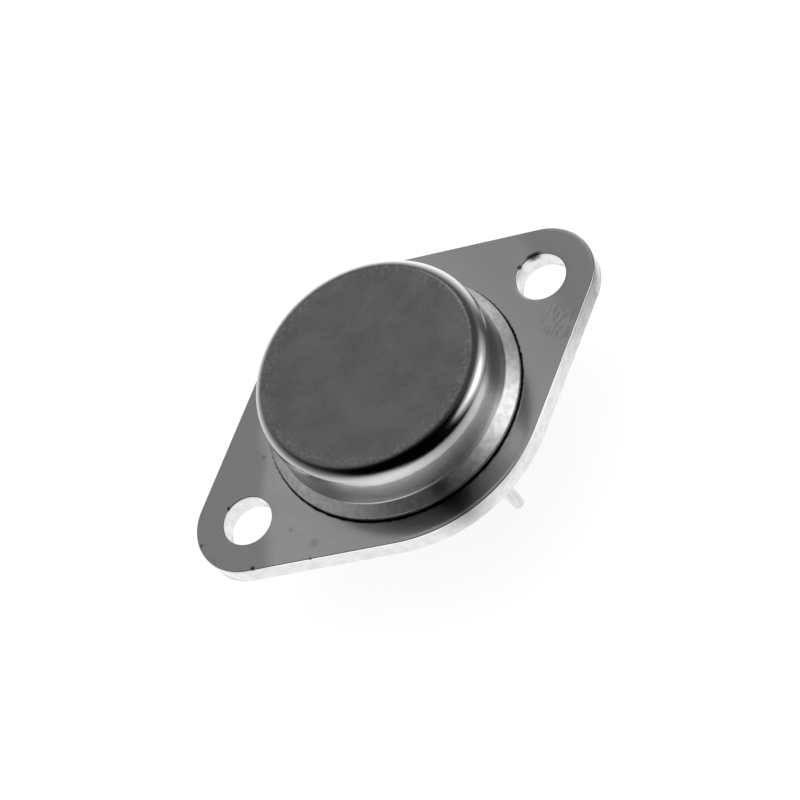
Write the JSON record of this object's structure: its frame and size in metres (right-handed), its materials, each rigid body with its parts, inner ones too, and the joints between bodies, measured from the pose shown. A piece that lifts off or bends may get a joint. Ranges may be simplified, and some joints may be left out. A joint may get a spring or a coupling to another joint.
{
  "type": "power transistor",
  "caption": "Power transistor in a sealed metal package: a round cap welded on a flat flanged header with mounting holes, and glass-sealed leads below.",
  "frame": {"origin": "centre of the header's underside, midway between the mounting holes, on the face that lies on a heat sink", "axes": "+Z along the cap's axis, away from the leads; +X along the row of mounting holes, toward the end that the leads are nearer to; the emitter lead is at +Y and the base lead at -Y"},
  "size_m": [0.039, 0.0256, 0.0206],
  "materials": {
    "header_plate": "nickel plated steel, satin, lightly stained",
    "cap_shell": "nickel plated steel, drawn, satin top and brighter wall",
    "lead_wire": "plated nickel-iron wire, bright",
    "seal_glass": "dark opaque sealing glass, smooth",
    "braze": "thin brazed joint, matt",
    "spreader_copper": "copper, satin",
    "soft_solder": "thin solder joint, dull",
    "silicon": "silicon, opaque, dark and smooth",
    "bond_wire": "drawn aluminium wire, soft and bright"
  },
  "bodies": {
    "root": {"header": "header_plate", "cap": "cap_shell", "base_lead": "lead_wire", "emitter_lead": "lead_wire", "base_seal": "seal_glass", "emitter_seal": "seal_glass", "spreader_braze": "braze", "heat_spreader": "spreader_copper", "die_solder": "soft_solder", "die": "silicon", "base_wire": "bond_wire", "emitter_wire_a": "bond_wire", "emitter_wire_b": "bond_wire"}
  },
  "joints": []
}
